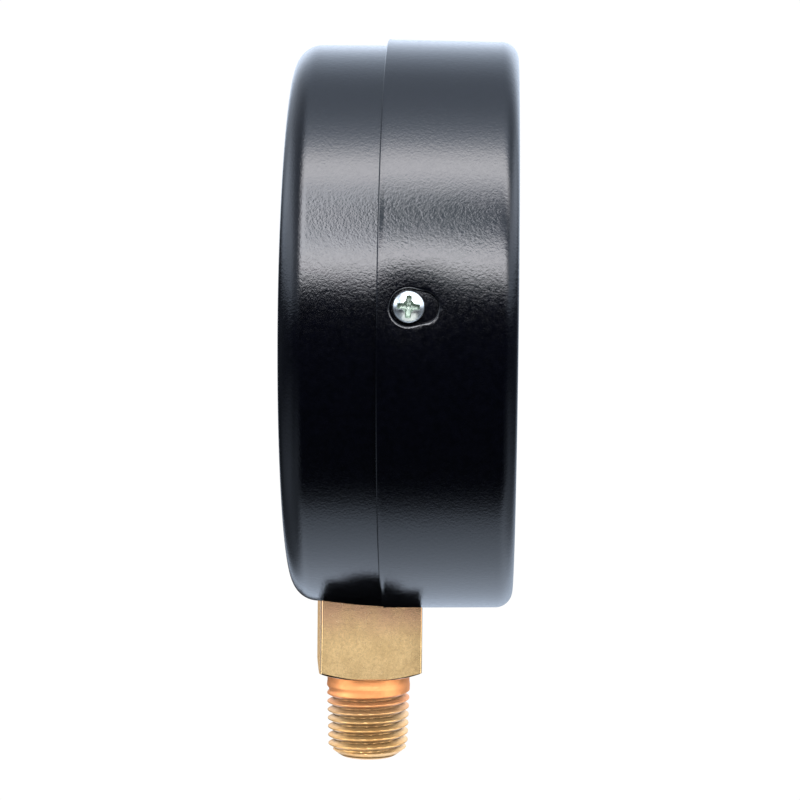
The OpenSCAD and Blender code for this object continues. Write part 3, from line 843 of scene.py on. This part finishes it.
block = chamfered_block()
narrow = BLOCK_W / 2 - 0.03
upper = solid_box((-narrow, -narrow, AXIS_H - CASE_R + 1.0), (narrow, narrow, BLOCK_TOP), BLOCK_TURN)
body = solid_box((-7, -2.5, BLOCK_TOP - 0.5), (7, CASE_BACK - SHEET, AXIS_H - 22))
boolean(block, [upper, body], "UNION")
bore_top = AXIS_H - 27
bores = [lathe("cutter", [(0, 10), (1.5, 10), (1.5, bore_top), (0, bore_top)], about_stem, 48,
               shut=False)]
bores += [rod_y(x, z, CASE_BACK, 3.8, 1.52, 32) for x, z in SOCKET_SCREWS]
bores += [rod_y(x, -34, 3.5, -3.5, 1.22, 32) for x in (-4, 4)]
bores.append(rod_y(PILLARS[2][0], PILLARS[2][1], -1.2, -3.5, 2.2, 32))
boolean(block, bores)
settle(block, STEM, "root")
block.name = "stem_block"
settle(stem, TURNED, "root")
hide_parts("socket")
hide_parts("socket")


# ---- Bourdon tube ----

def tube():
    """Flattened tube bent round the case axis, from its socket end to its tip."""
    bm = bmesh.new()
    start, stop, r, y = math.radians(-20), math.radians(262), 29.0, 4
    half_thick, flat = 1.6, 3.4
    steps, n = 180, 40
    rows = []
    for k in range(steps + 1):
        a = start + (stop - start) * k / steps
        row = []
        for j in range(n):
            b = 2 * math.pi * j / n
            c, s = math.cos(b), math.sin(b)
            w = half_thick * c
            h = flat * math.copysign(min(1, abs(s) * 3), s) + half_thick * s
            row.append(bm.verts.new(about_case(r + w, a, y + h) * MM))
        rows.append(row)
    for lower, upper in zip(rows, rows[1:]):
        for j in range(n):
            m = (j + 1) % n
            bm.faces.new((lower[j], lower[m], upper[m], upper[j]))
    bm.faces.new(rows[0])
    bm.faces.new(rows[-1])
    return as_object("bourdon_spring", bm, material=BRONZE, slot="tube_bronze")


spring = tube()
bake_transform(spring)
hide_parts("bourdon_tube")


# ---- Materials of the CAD nodes that stay ----

for entry in frame["record"]["materials"]:
    for name in entry.get("nodes", []):
        node = frame["nodes"][name]
        node.data.materials.clear()
        node.data.materials.append(SLOTS[entry["slot"]])


# ---- Studio ----

# Radiance that the camera sees as plain white
WHITE = 1.02


def studio_floor():
    """White floor for the camera, clear for every other ray."""
    bm = bmesh.new()
    bmesh.ops.create_grid(bm, x_segments=1, y_segments=1, size=6.0)
    for v in bm.verts:
        v.co.z = -0.0004
    mesh = bpy.data.meshes.new("floor")
    bm.to_mesh(mesh)
    bm.free()
    obj = bpy.data.objects.new("floor", mesh)
    bpy.context.scene.collection.objects.link(obj)
    mat = bpy.data.materials.new("floor_white")
    mat.use_nodes = True
    t = mat.node_tree
    t.nodes.clear()
    out = t.nodes.new("ShaderNodeOutputMaterial")
    white = t.nodes.new("ShaderNodeEmission")
    white.inputs[0].default_value = (1, 1, 1, 1)
    white.inputs[1].default_value = WHITE
    clear = t.nodes.new("ShaderNodeBsdfTransparent")
    path = t.nodes.new("ShaderNodeLightPath")
    both = t.nodes.new("ShaderNodeMixShader")
    t.links.new(path.outputs["Is Camera Ray"], both.inputs[0])
    t.links.new(clear.outputs[0], both.inputs[1])
    t.links.new(white.outputs[0], both.inputs[2])
    t.links.new(both.outputs[0], out.inputs[0])
    mesh.materials.append(mat)


# Brightness round the object, by angle in the XZ plane: 0 is level on the camera's side, 90 is up
ROUND = ((-180, 0.45), (-150, 1.1), (-121, 1.55), (-106, 1.5), (-96, 1.4), (-84, 1.1), (-74, 0.2),
         (-66, 0.02), (9, 0.02), (15, 0.1), (18, 1.0), (21.5, 8.0), (26, 12.5), (31, 11.0), (35, 5.0),
         (38, 1.8), (47, 1.1), (51, 1.3), (56, 5.6), (64, 11.0), (71, 9.2), (78, 3.8), (86, 2.0),
         (96, 1.25), (106, 0.95), (118, 0.78), (132, 1.05), (145, 1.45), (158, 1.8), (180, 1.2))
# What fills the gap between the two soft windows towards the back of the gauge
GAP = ((30, 0.0), (33, 2.5), (37, 9.0), (50, 9.6), (55, 5.0), (60, 0.0))
# Brightness on the dial side and the back side, by height of the direction from -1 to 1
SIDES = ((-1.0, 0.6), (-0.75, 0.8), (-0.5, 0.35), (-0.2, 0.07), (0.06, 0.07), (0.2, 1.6), (0.4, 2.4),
         (0.7, 1.7), (1.0, 1.0))


def tinted(value, top):
    """Dim light is a little bluer than bright light."""
    cool = min(1.0, max(0.0, (7.0 - value) / 6.0))
    tint = (1 - 0.13 * cool, 1.0 + 0.02 * cool, 1.05 + 0.2 * cool)
    return tuple(value / top * c for c in tint) + (1,)


def studio_world():
    """Soft studio round the object; the camera itself sees white."""
    world = bpy.data.worlds.new("studio")
    bpy.context.scene.world = world
    world.use_nodes = True
    t = world.node_tree
    t.nodes.clear()

    def node(kind, **values):
        n = t.nodes.new(kind)
        for key, value in values.items():
            setattr(n, key, value)
        return n

    def feed(socket, value):
        if isinstance(value, bpy.types.NodeSocket):
            t.links.new(value, socket)
        else:
            socket.default_value = value

    def calc(how, a, b=0.0):
        m = node("ShaderNodeMath", operation=how)
        feed(m.inputs[0], a)
        feed(m.inputs[1], b)
        return m.outputs[0]

    def step(value, low, high):
        m = node("ShaderNodeMapRange", interpolation_type="SMOOTHSTEP")
        m.inputs["From Min"].default_value, m.inputs["From Max"].default_value = low, high
        t.links.new(value, m.inputs["Value"])
        return m.outputs[0]

    def ramp(value, stops, low, high):
        n = node("ShaderNodeValToRGB")
        elements = n.color_ramp.elements
        while len(elements) > 1:
            elements.remove(elements[-1])
        top = max(v for _, v in stops)
        for k, (at, v) in enumerate(stops):
            place = (at - low) / (high - low)
            e = elements[0] if k == 0 else elements.new(place)
            e.position, e.color = place, tinted(v, top)
        t.links.new(calc("DIVIDE", calc("SUBTRACT", value, low), high - low), n.inputs[0])
        return blend("MULTIPLY", 1.0, n.outputs[0], (top, top, top, 1))

    def blend(how, fac, a, b):
        m = node("ShaderNodeMix", data_type="RGBA", blend_type=how)
        feed(m.inputs[0], fac)
        feed(m.inputs[6], a)
        feed(m.inputs[7], b)
        return m.outputs[2]

    where = node("ShaderNodeSeparateXYZ")
    t.links.new(node("ShaderNodeTexCoord").outputs["Generated"], where.inputs[0])
    x, y, z = where.outputs
    angle = calc("MULTIPLY", calc("ARCTAN2", z, calc("MULTIPLY", x, -1.0)), 180 / math.pi)
    bands = ramp(angle, ROUND, -180, 180)
    bands = blend("ADD", step(y, 0.0, 0.09), bands, ramp(angle, GAP, -180, 180))
    sides = ramp(z, SIDES, -1, 1)
    dimmed = blend("MULTIPLY", 1.0, sides, (0.4, 0.4, 0.4, 1))
    sides = blend("MIX", step(calc("ABSOLUTE", y), 0.66, 0.9), dimmed, sides)
    aside = step(calc("MAXIMUM", y, calc("MULTIPLY", y, -0.6)), 0.22, 0.52)
    light = blend("MIX", aside, bands, sides)
    seen = blend("MIX", node("ShaderNodeLightPath").outputs["Is Camera Ray"], light,
                 (WHITE, WHITE, WHITE, 1))
    back = node("ShaderNodeBackground")
    t.links.new(seen, back.inputs[0])
    t.links.new(back.outputs[0], node("ShaderNodeOutputWorld").inputs[0])


def softbox(name, location, target, size, power, tint=(1, 1, 1)):
    light = bpy.data.lights.new(name, "AREA")
    light.shape, light.size, light.size_y = "RECTANGLE", size[0], size[1]
    light.energy, light.color = power, tint
    obj = bpy.data.objects.new(name, light)
    bpy.context.scene.collection.objects.link(obj)
    obj.location = location
    obj.rotation_euler = (Vector(target) - Vector(location)).to_track_quat("-Z", "Y").to_euler()
    obj.visible_camera = False
    return obj


studio_floor()
studio_world()
dial_light = softbox("dial_light", (0.25, -0.9, 0.75), (0.0, 0.0, 0.05), (0.5, 0.5), 9.0)
dial_light.visible_glossy = False
# Cards that only bare metal sees: name, place, size, power, tint, pieces
WARM = (1.0, 0.98, 0.95)
for name, place, size, power, tint, pieces in (
        ("front_card", (-0.60, -0.03, -0.06), (0.5, 0.22), 0.33, WARM, (stem, block)),
        ("left_card", (-0.25, 0.50, -0.02), (0.4, 0.4), 1.3, WARM, (stem, block)),
        ("right_card", (-0.25, -0.52, -0.02), (0.4, 0.4), 1.3, WARM, (stem, block)),
        ("low_card", (-0.25, 0.0, -0.42), (0.5, 0.5), 0.8, (1.0, 0.86, 0.68), (stem,)),
        ("edge_card", (0.50, 0.08, -0.054), (0.2, 0.3), 0.13, (1.0, 0.66, 0.26), (block,)),
        ("screw_card", (-0.35, -0.02, -0.22), (0.5, 0.3), 0.5, (0.95, 1.0, 0.97),
         (bpy.data.objects["ring_screw_1"],))):
    card = softbox(name, place, (0, 0, 0.02), size, power, tint)
    seen_by = bpy.data.collections.new(name)
    for piece in pieces:
        seen_by.objects.link(piece)
    card.light_linking.receiver_collection = seen_by

# Black flags: one hides the backdrop from the block's rear edge, the others stand inside the
# stem and keep its reflection in the enamel black
black = plain("black_flag", (0.002, 0.002, 0.002), (0.001, 0.001, 0.001), (0.8, 0.9))
flag_half, flag_base = BLOCK_W / 2 - 0.2, BLOCK_BASE + 0.2
flags = [solid_box((520, 20, -200), (521, 150, 90)),
         lathe("flag", [(0, 0.3), (5.2, 0.3), (5.2, flag_base), (0, flag_base)], about_stem, 24,
               shut=False),
         solid_box((-flag_half, -flag_half, flag_base), (flag_half, flag_half, 27.5), BLOCK_TURN)]
for number, flag in enumerate(flags, 1):
    flag.name = "flag_%d" % number
    flag.data.materials.clear()
    flag.data.materials.append(black)
    flag.visible_camera = flag.visible_diffuse = False
    flag.visible_shadow = flag.visible_transmission = False
stem.visible_glossy = block.visible_glossy = False


# ---- Camera ----

FOCAL_PX, FRAME_PX, SENSOR = 2545.0, 800.0, 36.0
turn = (Matrix.Rotation(math.radians(1.819), 3, "Z") @ Matrix.Rotation(math.radians(3.782), 3, "Y")
        @ Matrix.Rotation(math.radians(-0.539), 3, "X"))
right, up, back = turn @ Vector((0, -1, 0)), turn @ Vector((0, 0, 1)), turn @ Vector((-1, 0, 0))
cam = bpy.data.cameras.new("camera")
cam.lens, cam.sensor_width = FOCAL_PX * SENSOR / FRAME_PX, SENSOR
cam.clip_start, cam.clip_end = 0.01, 50
camera = bpy.data.objects.new("camera", cam)
bpy.context.scene.collection.objects.link(camera)
pose = Matrix((right, up, back)).transposed().to_4x4()
pose.translation = Vector((-418.795, -18.101, 86.944)) * MM
camera.matrix_world = pose
scene = bpy.context.scene
scene.camera = camera
scene.view_settings.view_transform = "Standard"

bpy.context.view_layer.update()
